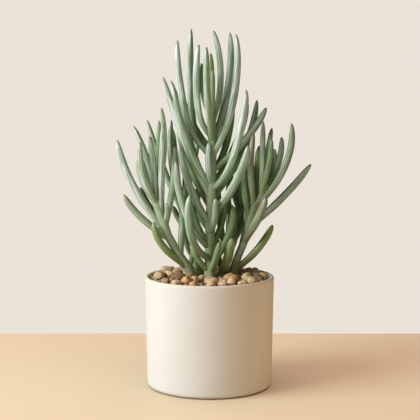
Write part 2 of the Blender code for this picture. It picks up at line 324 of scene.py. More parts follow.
def any_direction(chance: random.Random) -> Vector:
    """Draw a direction.

    Args:
        chance: What it is drawn with.

    Returns:
        A vector of length 1.
    """
    while True:
        ray = Vector([chance.uniform(-1, 1) for _ in range(3)])
        if 0.1 < ray.length < 1:
            return ray.normalized()


def turn_between(heading: float, other: float) -> float:
    """The angle between two headings in degrees, in radians."""
    return math.radians((heading - other + 180) % 360 - 180)


def circle(radius: float, height: float, steps: int) -> list[Vector]:
    """The points of a level circle about Z."""
    return [direction(360 * step / steps) * radius + up(height) for step in range(steps)]


def bell(distance: float) -> float:
    """A soft bump: 1 in its middle, and near 0 two widths off."""
    return math.exp(-(distance**2))


def ripple(place: Vector, offset: Vector, waves: Sequence[Pair]) -> float:
    """The sum of waves of noise, each with its height and its pace."""
    return sum(height * noise.noise(place * pace + offset) for height, pace in waves)


def place_in_frame(item: Object, replaced: Sequence[str] = ()) -> None:
    """Let a piece ride on the plant's one body and report it.

    Args:
        item: The piece.
        replaced: The CAD nodes that it stands for.
    """
    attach(item, ROOT_BODY)
    if replaced:
        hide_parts(*replaced)
    LOG.info("%s: %d points, %d faces", item.name, len(item.data.vertices), len(item.data.polygons))


# Finishes


@dataclass(frozen=True)
class LeafFinish:
    """Waxy blue-green leaf skin under a pale bloom, greener at the root, brown at the very tip."""

    blue_green: Colour = (0.106, 0.234, 0.055)
    fresh_green: Colour = (0.165, 0.295, 0.042)
    olive: Colour = (0.24, 0.345, 0.05)
    bloom: Colour = (0.8, 0.905, 0.87)
    rust: Colour = (0.3, 0.22, 0.14)
    dry_tip: Colour = (0.22, 0.13, 0.075)
    speck: Colour = (0.72, 0.78, 0.7)

    def material(self) -> Material:
        """Make the material.

        Returns:
            One that reads the marks along, upper, green, bloom, rust and straight.
        """
        mix = Recipe("leaf_skin")
        straight = mix.mark("straight", "Vector")
        along = mix.mark("along")
        lines = mix.noise(straight, 1000, 3, (1, 1, 0.05))
        cloud = mix.noise(straight, 160, 4, (1, 1, 0.35))
        specks = mix.noise(straight, 2200, 1)
        stops = [(0, self.blue_green), (0.5, self.fresh_green), (1, self.olive)]
        root = 1 - along.between(0, 0.4)
        greenness = mix.mark("green") * (1 + 1.3 * root) + 0.35 * (cloud - 0.5) + 0.1 * root
        skin = mix.add("ShaderNodeValToRGB", {"stops": stops}, {"Fac": greenness}, "Color")
        cover = mix.mark("bloom") * (0.5 + cloud) * (0.45 + 1.1 * lines.between(0.38, 0.62))
        cover = cover * (1 - 0.55 * root) * (1 - 0.7 * mix.mark("upper"))
        colour = mix.blend(cover, skin, self.bloom)
        stain = mix.mark("rust") * (0.25 + 0.75 * cloud.between(0.4, 0.65))
        colour = mix.blend(stain, colour, self.rust)
        colour = mix.blend(specks.between(0.62, 0.75), colour, self.speck, "MULTIPLY")
        colour = mix.blend(0.75 * along.between(0.93, 1.0), colour, self.dry_tip)
        return mix.finish(colour, 0.36 + 0.1 * cover, 0.75, lines + 0.6 * cloud, 0.12)


@dataclass(frozen=True)
class StemFinish:
    """Grey-green stem skin with pale streaks and brown leaf scars."""

    green: Colour = (0.155, 0.24, 0.055)
    grey: Colour = (0.62, 0.7, 0.53)
    scar: Colour = (0.2, 0.17, 0.09)

    def material(self) -> Material:
        """Make the material.

        Returns:
            One that reads the marks straight, scar and bloom.
        """
        mix = Recipe("stem_skin")
        straight = mix.mark("straight", "Vector")
        streaks = mix.noise(straight, 1100, 3, (1, 1, 0.12))
        cloud = mix.noise(straight, 140, 4)
        cover = mix.mark("bloom") * (0.6 + cloud) * (0.55 + streaks)
        colour = mix.blend(cover, self.green, self.grey)
        colour = mix.blend(mix.mark("scar") * (0.5 + streaks), colour, self.scar)
        return mix.finish(colour, 0.55 + 0.2 * streaks, 0.35, streaks + cloud, 0.25)


@dataclass(frozen=True)
class CeramicFinish:
    """Matte cream ceramic: fine grain, faint clouds of warmer clay, painted warm shade on the lip, and a
    painted contact shadow and table reflection at the foot.
    """

    cream: Colour = (0.745, 0.745, 0.7)
    warm: Colour = (0.72, 0.715, 0.665)
    # Painted warm shade on the lip: a tint that stands in for the warm bounce light on the wall.
    lip: Colour = (1, 0.88, 0.74)
    # Painted contact shadow and reflection of the table, along the foot's rounding.
    foot: Colour = (1, 0.42, 0.2)

    def material(self) -> Material:
        """Make the material.

        Returns:
            One that reads object coordinates and the marks lip and foot.
        """
        mix = Recipe("cream_ceramic")
        place = mix.add("ShaderNodeTexCoord", output="Object")
        cloud = mix.noise(place, 28, 3)
        grain = mix.noise(place, 1400, 3)
        rings = mix.noise(place, 90, 2, (0.05, 0.05, 3))
        colour = mix.blend(cloud.between(0.3, 0.8), self.cream, self.warm)
        # The lip mark multiplies in painted warm shade.
        colour = mix.blend(mix.mark("lip"), colour, self.lip, "MULTIPLY")
        # The foot mark multiplies in the painted brown contact shadow and table reflection.
        colour = mix.blend(mix.mark("foot"), colour, self.foot, "MULTIPLY")
        return mix.finish(colour, 0.58 + 0.14 * grain, 0.3, 0.7 * grain + 0.5 * rings, 0.06)


@dataclass(frozen=True)
class PebbleFinish:
    """Smooth worn stone, mottled between the stone's two colours."""

    pit: Colour = (0.55, 0.5, 0.45)
    crumb: Colour = (0.86, 0.75, 0.58)

    def material(self) -> Material:
        """Make the material.

        Returns:
            One that reads the marks tint, patch and still.
        """
        mix = Recipe("river_stone")
        place = mix.mark("still", "Vector")
        cloud = mix.noise(place, 190, 3)
        grain = mix.noise(place, 1300, 4)
        veins = mix.noise(place, 420, 2, (1, 1, 2.5))
        share = (cloud + 0.25 * veins).between(0.5, 0.78)
        colour = mix.blend(share, mix.mark("tint", "Color"), mix.mark("patch", "Color"))
        colour = mix.blend(0.9 * grain.between(0.52, 0.72), colour, self.pit, "MULTIPLY")
        colour = mix.blend(0.35 * grain.between(0.5, 0.3), colour, self.crumb)
        return mix.finish(colour, 0.46 + 0.35 * grain, 0.3, grain + cloud, 0.22)


@dataclass(frozen=True)
class SoilFinish:
    """Dark crumbly potting soil with lighter fibres."""

    dark: Colour = (0.022, 0.014, 0.009)
    brown: Colour = (0.11, 0.068, 0.04)

    def material(self) -> Material:
        """Make the material.

        Returns:
            One that reads object coordinates.
        """
        mix = Recipe("potting_soil_crumb")
        place = mix.add("ShaderNodeTexCoord", output="Object")
        crumbs = mix.noise(place, 380, 5)
        fibres = mix.noise(place, 900, 2, (1, 0.2, 1))
        colour = mix.blend((crumbs + 0.4 * fibres).between(0.5, 0.95), self.dark, self.brown)
        return mix.finish(colour, 0.8 + 0.15 * fibres, 0.2, crumbs, 1.2)


# Plant


class Shade(NamedTuple):
    """How green a leaf is under its bloom, how thick the bloom lies, and how rusty it is."""

    green: float
    bloom: float
    rust: float


class Tone(Enum):
    """The kinds of leaf colour on the plant."""

    BLUE = Shade(0.05, 0.62, 0)
    SAGE = Shade(0.15, 0.4, 0.08)
    DEEP = Shade(0.2, 0.16, 0)
    LOW = Shade(0.45, 0.2, 0.05)
    YOUNG = Shade(0.3, 0.52, 0)
    FRESH = Shade(0.5, 0.22, 0)
    OLIVE = Shade(0.8, 0.12, 0)
    RUSTY = Shade(0.25, 0.3, 0.7)


@dataclass(frozen=True)
class Leaf:
    """One finger leaf, rooted on the stem's middle line, in millimetres and degrees.

    `height` is its root's height over the pot's foot, `mid` and `tip` how far it has swung out at
    half its rise and at its end, `thick` its largest diameter and `knee` how much further out it
    bends near its root.
    """

    height: float
    heading: float
    mid: float
    tip: float
    rise: float
    thick: float
    tone: Tone = Tone.SAGE
    knee: float = 0

    def swing(self, share: float) -> float:
        """How far out the middle line is at a share of the rise."""
        bow = (4 * self.mid - self.tip) * share + (2 * self.tip - 4 * self.mid) * share**2
        return bow + LEAF_KNEE * self.knee * share * (1 - share) ** 4

    def lean(self, share: float) -> float:
        """How fast the middle line swings out there, for each share of the rise."""
        bow = 4 * self.mid - self.tip + 2 * (2 * self.tip - 4 * self.mid) * share
        return bow + LEAF_KNEE * self.knee * (1 - share) ** 3 * (1 - 5 * share)


@dataclass(frozen=True)
class LeafForm:
    """How every leaf is shaped, in shares and millimetres, and how leaves of one tone differ."""

    sides: int = 20
    rings: int = 30
    ring_crowding: float = 1.7
    root_share: float = 0.68
    root_swell: float = 0.9
    slimming: float = 0.1
    bluntness: float = 10
    point_round: float = 0.6
    flat_top: float = 0.16
    collar: float = 0.28
    collar_length: float = 5
    wobble: float = 0.035
    wobble_shift: float = 7
    wobble_pace: float = 5
    sway: float = 0.5
    sway_pace: float = 2
    green_range: Pair = (-0.06, 0.06)
    bloom_range: Pair = (0.85, 1.15)

    def shares(self) -> list[float]:
        """Where the rings stand along a leaf, closer together towards the point."""
        return [1 - (1 - ring / self.rings) ** self.ring_crowding for ring in range(self.rings)]

    def taper(self, share: float) -> float:
        """The thickness at a share of the leaf's length, as a share of its largest."""
        root = min(1, self.root_share + self.root_swell * share)
        return root * (1 - share**self.bluntness) ** self.point_round * (1 - self.slimming * share**2)


def middle_line(*points: Triple) -> list[Vector]:
    """A stem's middle line, from the soil to its top."""
    return [Vector(point) for point in points]


@dataclass(frozen=True)
class LeafyStem:
    """One stem with its leaves, which stands for one node of the CAD model.

    Lengths are in millimetres and widths round the stem in radians.
    """

    node: str
    foot_thick: float
    top_thick: float
    seed: int
    path: Sequence[Vector]
    leaves: Sequence[Leaf]
    form: LeafForm = LeafForm()
    sides: int = 28
    step: float = 0.9
    buried: float = 8
    top_round: float = 2.5
    top_blunt: float = 0.08
    bump: float = 0.25
    bump_pace: float = 2
    bump_length: float = 9
    ridge: float = 0.75
    ridge_width: float = 0.5
    ridge_start: float = 3
    ridge_rise: float = 2
    ridge_drop: float = 9
    ridge_reach: Pair = (-4.0, 27.0)
    scar_count: int = 3
    scar_start: float = 2
    scar_spacing: float = 4.2
    scar_turn: float = 30
    scar_height: float = 1.3
    scar_width: float = 0.55
    scar_rise: float = 0.35
    scar_stain: float = 0.8
    bloom: float = 0.3
    bloom_gain: float = 0.15
    bloom_rise: float = 40
    pattern_shift: float = 400

    def section(self, height: float) -> tuple[Vector, float]:
        """Cut the stem at a height.

        Args:
            height: Height over the pot's foot.

        Returns:
            The middle of the cut and its radius.
        """
        number = sum(point.z < height for point in self.path[1:-1])
        low, high = self.path[number], self.path[number + 1]
        share = (height - low.z) / (high.z - low.z)
        along = min(max((number + share) / (len(self.path) - 1), 0), 1)
        thick = self.foot_thick + (self.top_thick - self.foot_thick) * along
        return low.lerp(high, share), thick / 2

    def scars(self) -> list[Pair]:
        """Set out the old leaf scars on the foot of the stem.

        Returns:
            Their heights and headings.
        """
        low, turn = self.path[0].z + self.scar_start, self.scar_turn * self.seed
        count = range(self.scar_count)
        return [(low + self.scar_spacing * scar, turn + GOLDEN_ANGLE * scar) for scar in count]

    def relief(self, height: float, heading: float) -> Pair:
        """The stem's own relief at a point of its skin.

        Args:
            height: Height over the pot's foot.
            heading: Direction from the middle line, in degrees.

        Returns:
            How far the skin stands out, and how much of a scar it is, from 0 to 1.
        """
        rise = worn = 0.0
        for leaf in self.leaves:
            below = leaf.height + self.ridge_start - height
            if self.ridge_reach[0] < below < self.ridge_reach[1]:
                around = turn_between(heading, leaf.heading) / self.ridge_width
                fade = math.exp(-below / self.ridge_drop) if below > 0 else bell(below / self.ridge_rise)
                rise += self.ridge * fade * bell(around)
        for scar_height, scar_heading in self.scars():
            around = turn_between(heading, scar_heading) / self.scar_width
            worn = max(worn, bell(math.hypot((height - scar_height) / self.scar_height, around)))
        return rise + self.scar_rise * worn, worn

    def bark_point(self, sculpt: Sculpt, height: float, heading: float) -> int:
        """Add one point of the stem's skin.

        Args:
            sculpt: The mesh to add it to.
            height: Height over the pot's foot.
            heading: Direction from the middle line, in degrees.

        Returns:
            The point's number.
        """
        low, high = self.path[0].z, self.path[-1].z
        middle, radius = self.section(height)
        cap = min(1, math.sqrt(max(high - height, 0) / self.top_round + self.top_blunt))
        out, worn = self.relief(height, heading)
        ray = direction(heading)
        lift = up(height / self.bump_length + self.seed)
        out += self.bump * noise.noise(ray * self.bump_pace + lift)
        straight = ray * radius + up(height + self.pattern_shift * self.seed)
        return sculpt.point(
            (middle + ray * (radius + out) * cap) * MM,
            bloom=self.bloom + self.bloom_gain * min(max(height - low, 0) / self.bloom_rise, 1),
            scar=self.scar_stain * worn,
            straight=tuple(straight * MM),
            **dict.fromkeys(("along", "upper", "green", "rust"), 0.0),
        )

    def grow_axis(self, sculpt: Sculpt) -> None:
        """Add the bare stem, with a ridge under each leaf, from under the gravel to its top.

        Args:
            sculpt: The mesh to add it to.
        """
        top = self.path[-1].z
        heights = [self.path[0].z - self.buried]
        while heights[-1] < top:
            heights.append(min(heights[-1] + self.step, top))
        headings = [360 * step / self.sides for step in range(self.sides)]
        rings = [[self.bark_point(sculpt, height, each) for each in headings] for height in heights]
        sculpt.stack(rings, BARK)
        sculpt.face(rings[0][::-1], BARK)
        sculpt.face(rings[-1], BARK)

    def grow_leaf(self, sculpt: Sculpt, leaf: Leaf, number: int) -> None:
        """Add one leaf.

        Args:
            sculpt: The mesh to add it to.
            leaf: The leaf's row.
            number: The leaf's number on this stem, which seeds its small differences.
        """
        form, shade = self.form, leaf.tone.value
        chance = random.Random(1000 * self.seed + number)
        root, _ = self.section(leaf.height)
        outward = direction(leaf.heading)
        level = Vector((-outward.y, outward.x, 0))
        offset = Vector([chance.uniform(-1, 1) for _ in range(3)])
        marks = {
            "green": shade.green + chance.uniform(*form.green_range),
            "bloom": shade.bloom * chance.uniform(*form.bloom_range),
            "rust": shade.rust,
            "scar": 0.0,
        }
        rings = []
        for share in form.shares():
            rise = up(leaf.rise * share)
            sway = form.sway * math.sin(math.pi * share)
            sway *= noise.noise(offset + up(form.sway_pace * share))
            centre = root + outward * leaf.swing(share) + level * sway + rise
            run = (outward * leaf.lean(share) + up(leaf.rise)).normalized()
            inner = run.cross(level)
            radius = leaf.thick / 2 * form.taper(share)
            radius *= 1 + form.collar * bell(rise.z / form.collar_length)
            ring = []
            for step in range(form.sides):
                ray = direction(360 * (step + 0.5) / form.sides)
                place = offset * form.wobble_shift + ray + up(form.wobble_pace * share)
                reach = radius * (1 + form.wobble * noise.noise(place))
                if ray.y > 0:
                    ray.y *= 1 - form.flat_top * ray.y
                place = centre + (level * ray.x + inner * ray.y) * reach
                straight = (ray * leaf.thick / 2 + rise) * MM + offset
                marks.update(along=share, upper=max(ray.y, 0.0), straight=tuple(straight))
                ring.append(sculpt.point(place * MM, **marks))
            rings.append(ring)
        sculpt.stack(rings, SKIN)
        sculpt.face(rings[0][::-1], SKIN)
        rise = up(leaf.rise)
        marks.update(along=1.0, upper=0.0, straight=tuple(rise * MM + offset))
        sculpt.fan(rings[-1], sculpt.point((root + outward * leaf.tip + rise) * MM, **marks), SKIN)

    def make(self, skin: Material, bark: Material) -> None:
        """Build the stem and its leaves in place of the CAD node.

        Args:
            skin: The leaves' material.
            bark: The stem's material.
        """
        sculpt = Sculpt("leafy_" + self.node)
        self.grow_axis(sculpt)
        for number, leaf in enumerate(self.leaves):
            self.grow_leaf(sculpt, leaf, number)
        place_in_frame(sculpt.build([skin, bark]), [self.node])


# The plant's five stems, as the CAD model has them, with a tone for each leaf that isn't sage
MAIN_STEM = LeafyStem("stem_main", foot_thick=9.6, top_thick=6, seed=1, path=middle_line(
    (0.3, 0, 101), (0.8, 0, 136), (1.8, 0, 173), (2.5, 0, 210), (2.5, 1, 242), (2, 2, 258)
), leaves=[
    # Crown
    Leaf(214, 185, 24.8, 31.5, 105, 7.4, Tone.BLUE, knee=6),
    Leaf(212, 150, 19.2, 22, 118, 7, Tone.BLUE, knee=8),
    Leaf(231, 215, 15.3, 14.5, 84, 6.8, Tone.BLUE, knee=4.5),
    Leaf(245, 120, 16, 19, 54, 5.8, Tone.FRESH),
    Leaf(226, 259, 22, 27, 86, 6.6),
    Leaf(245, 95, 8, 13, 63, 6.4, Tone.FRESH),
    Leaf(243, 275, 6, 6, 50, 5.2, Tone.FRESH),
    Leaf(243, 20, 8.2, 1.3, 85, 6.6, Tone.BLUE),
    Leaf(226, 40, 19.2, 21.4, 101, 7.2, Tone.BLUE),
    Leaf(214, 340, 20.6, 23, 110, 7.6, Tone.BLUE, knee=1.5),
    # Right side
    Leaf(199, 40, 19.2, 24, 67, 7, Tone.DEEP, knee=2.5),
    Leaf(182, 325, 27.4, 38, 92, 7.8, Tone.BLUE, knee=4.4),
    Leaf(173, 25, 33, 47, 92, 7.2, Tone.DEEP),
    Leaf(200, 10, 31.5, 51, 58, 7.6),
    Leaf(158, 320, 29.5, 43.5, 67, 8.2),
    # Left side
    Leaf(186, 157, 22.5, 41, 97, 6.8, Tone.BLUE, knee=4),
    Leaf(182, 200, 23.6, 35.6, 90, 7.6),
    Leaf(184, 240, 6, 4, 43, 6, Tone.BLUE),
    Leaf(173, 185, 24.9, 44, 113, 7.4, Tone.BLUE),
    Leaf(150, 200, 19.8, 29.6, 72, 7.6),
    Leaf(150, 172, 12, 24, 37, 6.6),
    Leaf(144, 150, 17, 27, 42, 6.6, Tone.DEEP),
    Leaf(128, 210, 27, 35.5, 82, 7.4, knee=3),
    Leaf(118, 230, 26.8, 27.5, 62, 7.8, knee=5),
    Leaf(106, 210, 13, 19, 28, 6.2, Tone.LOW),
    Leaf(130, 160, 13, 17, 41, 6.4, Tone.DEEP),
    # Low front
    Leaf(141, 290, 11.5, 14, 35, 6.6),
    Leaf(126, 30, 12, 15, 48, 6.4, Tone.DEEP),
    Leaf(110, 350, 16.5, 21, 59, 7.1, Tone.LOW),
    Leaf(104, 300, 11, 18, 32, 6.8, Tone.LOW),
    # Back
    Leaf(205, 90, 24, 34, 78, 7),
    Leaf(190, 91, 26, 38, 72, 7, Tone.DEEP),
    Leaf(172, 89, 28, 42, 78, 7.2),
    Leaf(155, 92, 28, 44, 70, 7.2, Tone.DEEP),
    Leaf(138, 90, 26, 40, 66, 7),
    Leaf(180, 140, 31, 46, 88, 7, Tone.DEEP),
    Leaf(165, 135, 27, 44, 72, 7.2, Tone.DEEP),
    Leaf(150, 40, 30, 46, 74, 7.4, Tone.DEEP),
    Leaf(186, 45, 33, 48, 78, 7.2, Tone.DEEP),
    Leaf(214, 50, 28, 34, 92, 7),
    Leaf(218, 135, 34, 43, 74, 7),
    Leaf(128, 140, 24, 28, 50, 6.8, Tone.DEEP),
])

LEFT_STEM = LeafyStem("stem_left", foot_thick=9.8, top_thick=7.6, seed=2, path=middle_line(
    (-16.6, 4, 101), (-19, 3, 109), (-28.6, 0, 123), (-39, -4, 142), (-45.3, -6, 161), (-49.5, -5, 175)
), leaves=[
    Leaf(145, 185, 29.5, 44, 84, 7.8, Tone.BLUE),
    Leaf(150, 165, 14, 23, 35, 6),
    Leaf(137, 175, 27.3, 43, 41, 7.2, Tone.RUSTY),
    Leaf(110, 205, 25.6, 34.3, 44, 7.4, Tone.OLIVE),
    Leaf(174, 150, 8, 24, 67, 6.2),
    Leaf(169, 215, 15, 18, 58, 6.8, Tone.YOUNG),
    Leaf(169, 180, 13, 18, 41, 5.6, Tone.YOUNG),
    Leaf(173, 240, 4, 11, 59, 6, Tone.YOUNG),
    Leaf(158, 280, 6, 17, 86, 6.2, Tone.BLUE),
    Leaf(175, 60, 14, 11, 83, 6, Tone.YOUNG),
    Leaf(175, 80, 14, 16, 71, 5.8),
    Leaf(148, 331, 8.1, 11, 75, 6.6),
    Leaf(150, 300, 5, 4, 21, 4.6),
    Leaf(121, 295, 4.4, 2.4, 45, 6.6),
    Leaf(108, 330, 3, 5, 27, 5, Tone.FRESH),
    # Back
    Leaf(165, 110, 14, 26, 66, 6.6, Tone.DEEP),
    Leaf(155, 100, 14, 24, 60, 6.8, Tone.DEEP),
    Leaf(150, 130, 18, 34, 60, 6.8, Tone.DEEP),
    Leaf(138, 120, 16, 28, 50, 6.8, Tone.DEEP),
])

RIGHT_STEM = LeafyStem("stem_right", foot_thick=8.8, top_thick=6, seed=3, path=middle_line(
    (22, 9, 101), (23.2, 9, 110), (33, 6, 135), (41.5, 3, 166), (48.6, 2, 179), (54.5, 1, 188)
), leaves=[
    Leaf(164, 345, 28.8, 35, 80, 7.4),
    Leaf(180, 15, 14.5, 18, 51, 6.6),
    Leaf(175, 310, 11, 16, 55, 5.6, Tone.LOW),
    Leaf(186, 40, 8, 9, 34, 5.2),
    Leaf(177, 280, 7, 8, 69, 5.6),
    Leaf(182, 65, 6, 19, 57, 5.6),
    Leaf(170, 80, 6, 8, 50, 6.8, Tone.DEEP),
    Leaf(154, 200, 6, 4, 61, 6.4, Tone.DEEP),
    Leaf(167, 235, 7, 2, 68, 6.4, Tone.RUSTY),
    Leaf(134, 310, 17.5, 29.5, 43, 8, Tone.RUSTY),
    Leaf(146, 0, 32.5, 58, 60, 7.6),
    Leaf(107, 0, 23, 36.2, 42, 7.8, Tone.OLIVE, knee=1.5),
    # Back
    Leaf(163, 75, 14, 24, 59, 6.8, Tone.DEEP),
    Leaf(152, 60, 16, 30, 50, 6.8, Tone.DEEP),
    Leaf(175, 25, 13, 15.5, 43, 5, Tone.LOW),
    Leaf(140, 85, 14, 24, 52, 6.8, Tone.DEEP),
    Leaf(122, 60, 14, 24, 44, 6.8, Tone.DEEP),
])

BACK_LEFT_STEM = LeafyStem("stem_back_left", foot_thick=8.4, top_thick=5.6, seed=4, path=middle_line(
    (-10, 12, 101), (-13.5, 20, 124), (-19.8, 28, 140), (-25.6, 34, 159), (-29, 36, 170)
), leaves=[
    Leaf(160, 130, 15.5, 16.5, 86, 6.8, Tone.BLUE),
    Leaf(158, 165, 20, 35.4, 88, 6.4),
    Leaf(155, 60, 8, 8, 62, 6.4, Tone.DEEP),
    Leaf(141, 190, 9, 14.5, 24, 6.6, Tone.DEEP),
    Leaf(106, 200, 2, 4, 30, 5.4, Tone.FRESH),
    Leaf(116, 188, 8.3, 11, 36, 5.2, Tone.LOW, knee=3),
    # Back
    Leaf(150, 90, 16, 28, 62, 6.8, Tone.DEEP),
    Leaf(165, 50, 16, 26, 66, 6.8),
    Leaf(165, 110, 14, 24, 72, 6.8),
    Leaf(135, 75, 18, 30, 50, 6.8, Tone.DEEP),
    Leaf(120, 120, 14, 24, 40, 6.6, Tone.DEEP),
])

BACK_RIGHT_STEM = LeafyStem("stem_back_right", foot_thick=8, top_thick=5.6, seed=5, path=middle_line(
    (11, 8, 101), (13.4, 13, 110), (22, 26, 128), (28, 34, 149), (31.5, 37, 163)
), leaves=[
    Leaf(104, 290, 17, 26.6, 35.5, 8.7, Tone.OLIVE),
    Leaf(120, 320, 5, 7, 45, 7, Tone.FRESH),
    Leaf(132, 20, 10, 13, 35, 6.4, Tone.DEEP),
    Leaf(140, 180, 7, 5, 53, 6.4, Tone.DEEP),
    Leaf(157, 60, 8, 6, 49, 6.4, Tone.DEEP),
    Leaf(162, 180, 2.5, 3, 30, 5.8, Tone.DEEP),
    Leaf(118, 185, 7, 8, 66, 6.8, Tone.DEEP),
    Leaf(104, 190, 3, 4, 34, 5.6, Tone.DEEP),
    # Back
    Leaf(150, 40, 15, 24, 56, 6.8),
    Leaf(140, 45, 14, 24, 50, 6.8, Tone.DEEP),
    Leaf(122, 90, 16, 28, 48, 6.8, Tone.DEEP),
    Leaf(155, 125, 12, 22, 52, 6.4),
])

STEMS = (MAIN_STEM, LEFT_STEM, RIGHT_STEM, BACK_LEFT_STEM, BACK_RIGHT_STEM)


# Pot


@dataclass(frozen=True)
class Pot:
    """The straight cream pot: a turned body with a rounded foot and a soft lip."""

    rim_radius: float = 60 * MM
    foot_radius: float = 58 * MM
    height: float = 102.5 * MM
    wall: float = 4 * MM
    floor: float = 7 * MM
    foot_round: float = 4 * MM
    corner_round: float = 3 * MM
    steps: int = 192
    arc_steps: int = 12

    def inner_radius(self, height: float) -> float:
        """The radius of the inner wall at a height."""
        lean = (self.rim_radius - self.foot_radius) / self.height
        return self.foot_radius + lean * height - self.wall

    def outline(self) -> list[Vector]:
        """Draw the profile.

        Returns:
            Its points, as radius and height, from the middle of the foot to the inside floor.
        """
        lip = self.wall / 2
        low, high, bend = self.foot_round, self.height - lip, self.floor + self.corner_round
        flat = self.foot_radius - self.foot_round
        corner = self.inner_radius(self.floor) - self.corner_round
        points = [Vector((share * flat, 0)) for share in (0.4, 0.8, 0.97)]
        points += self._arc(Vector((flat, low)), self.foot_round, -90, 0)
        for share in (0.02, 0.1, 0.3, 0.5, 0.7, 0.9, 0.98):
            height = low + (high - low) * share
            points.append(Vector((self.inner_radius(height) + self.wall, height)))
        points += self._arc(Vector((self.rim_radius - lip, high)), lip, 0, 180)
        for share in (0.02, 0.15, 0.5, 0.97):
            height = high + (bend - high) * share
            points.append(Vector((self.inner_radius(height), height)))
        points += self._arc(Vector((corner, bend)), self.corner_round, 0, -90)
        points += [Vector((share * corner, self.floor)) for share in (0.95, 0.5)]
        return points

    def _arc(self, middle: Vector, radius: float, start: float, end: float) -> list[Vector]:
        """The points of an arc of the profile, between two headings round its middle."""
        turns = [start + (end - start) * step / self.arc_steps for step in range(self.arc_steps + 1)]
        return [middle + direction(turn).xy * radius for turn in turns]

    def make(self, ceramic: Material) -> Object:
        """Turn the outline about Z in place of the CAD pot.

        Args:
            ceramic: The pot's material.

        Returns:
            The pot.
        """
        sculpt = Sculpt("ceramic_pot")
        rings = []
        for radius, height in self.outline():
            # Mask for the ceramic's painted warm shade on the lip.
            lip = max(0.0, 1 - 2 * (self.height - height) / self.wall)
            # Mask for the ceramic's painted contact shadow and table reflection at the foot.
            foot = max(0.0, 1 - 2 * height / self.foot_round)
            spots = circle(radius, height, self.steps)
            rings.append([sculpt.point(spot, lip=lip, foot=foot) for spot in spots])
        sculpt.stack(rings)
        sculpt.fan(rings[0], sculpt.point(up(0), lip=0.0, foot=1.0))
        sculpt.fan(rings[-1], sculpt.point(up(self.floor), lip=0.0, foot=0.0))
        piece = sculpt.build([ceramic])
        place_in_frame(piece, ["pot"])
        return piece


# Filling


class Stone(Enum):
    """The stones' colours: the main one and that of its patches."""

    TAN = ((0.62, 0.42, 0.21), (0.74, 0.54, 0.3))
    SAND = ((0.74, 0.54, 0.27), (0.55, 0.35, 0.15))
    ORANGE = ((0.68, 0.42, 0.19), (0.5, 0.24, 0.09))
    PINK = ((0.55, 0.34, 0.21), (0.68, 0.48, 0.32))
    BROWN = ((0.32, 0.18, 0.09), (0.48, 0.3, 0.16))
    UMBER = ((0.17, 0.1, 0.045), (0.32, 0.2, 0.1))
    GREY = ((0.36, 0.27, 0.16), (0.54, 0.41, 0.25))
    DARK = ((0.11, 0.07, 0.04), (0.22, 0.14, 0.08))
    MOSSY = ((0.36, 0.28, 0.14), (0.28, 0.2, 0.1))


@dataclass(frozen=True)
class Pebble:
    """A pebble's place, its width and height, the turn of its long side and its colour."""

    x: float
    y: float
    wide: float
    tall: float
    turn: float
    stone: Stone


# The ones that lie in plain view
LARGE_PEBBLES = (
    Pebble(-20.5, -35, 12, 10, 110, Stone.ORANGE),
    Pebble(-13.5, -30, 11, 9, 70, Stone.TAN),
    Pebble(1.5, -18, 14, 5.5, 0, Stone.PINK),
    Pebble(3, -42, 12, 9, 25, Stone.TAN),
    Pebble(12, -47, 9.5, 7.5, 150, Stone.PINK),
    Pebble(22, -28, 12.5, 10, 60, Stone.ORANGE),
    Pebble(30, -40, 9.5, 6.5, 10, Stone.PINK),
    Pebble(39, -31, 10.5, 8, 40, Stone.SAND),
    Pebble(47, -18, 9, 6.5, 70, Stone.DARK),
    Pebble(44.5, 8, 11, 7.5, 110, Stone.BROWN),
    Pebble(36.5, -2, 10.5, 7.5, 165, Stone.UMBER),
    Pebble(38, 32, 9, 6.5, 30, Stone.DARK),
    Pebble(-41, 26, 12, 9.5, 140, Stone.GREY),
    Pebble(-46.5, -10, 12.5, 9, 80, Stone.TAN),
    Pebble(-31.5, 20, 10, 8, 40, Stone.TAN),
    Pebble(-28, -13, 13, 9.5, 0, Stone.UMBER),
    Pebble(-39.5, -30, 9.5, 7, 130, Stone.BROWN),
    Pebble(-30, -40, 9.5, 7, 160, Stone.TAN),
)


